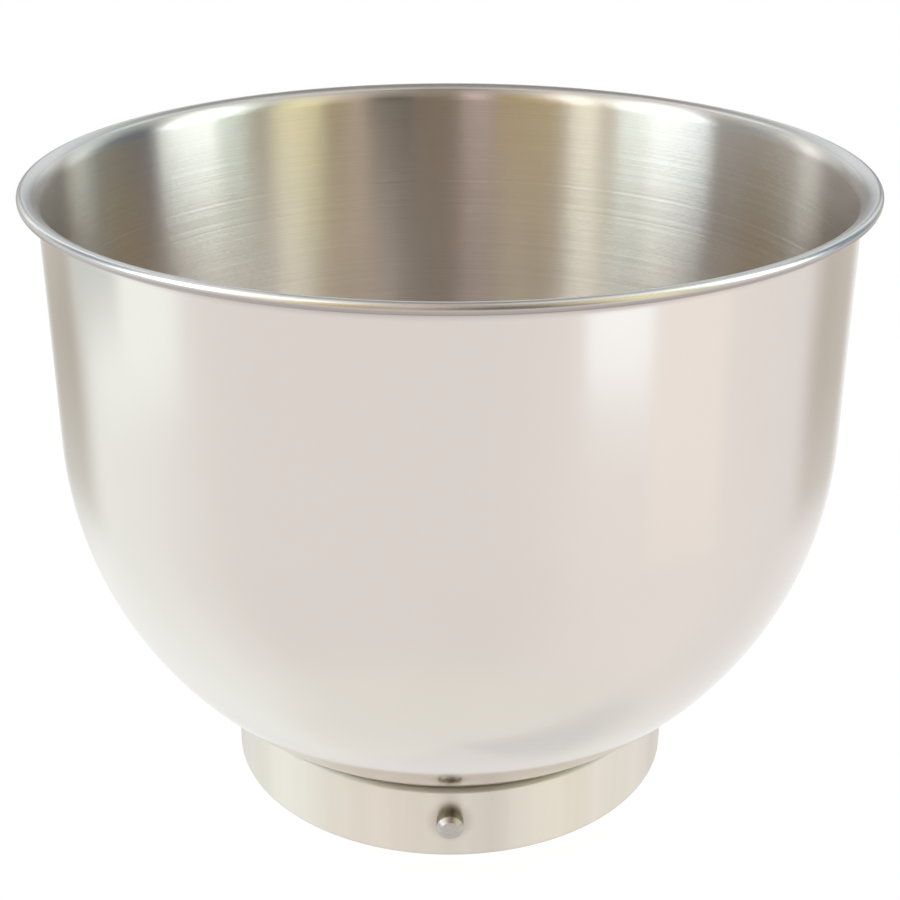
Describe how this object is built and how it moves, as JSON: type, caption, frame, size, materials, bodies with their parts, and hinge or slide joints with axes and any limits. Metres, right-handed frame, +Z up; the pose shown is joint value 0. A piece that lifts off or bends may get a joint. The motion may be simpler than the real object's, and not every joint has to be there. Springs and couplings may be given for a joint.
{
  "type": "stand mixer bowl",
  "caption": "Deep round-bottomed steel mixing bowl with a flared, curled rim, on a welded base ring with studs that lock it to a stand mixer.",
  "frame": {"origin": "centre of the base ring's foot, on the plane that the bowl stands on", "axes": "+Z up the bowl's axis; -Y to the front, where the first locking pin is; +X to the right as seen from the front"},
  "size_m": [0.23, 0.23, 0.18],
  "materials": {
    "bowl_steel": "mirror polished outside, brushed round the axis inside",
    "ring_steel": "polished outside",
    "pin_steel": "turned and polished"
  },
  "bodies": {
    "root": {"bowl_shell": "bowl_steel", "base_ring": "ring_steel", "locking_pin_1": "pin_steel", "locking_pin_2": "pin_steel", "locking_pin_3": "pin_steel"}
  },
  "joints": []
}
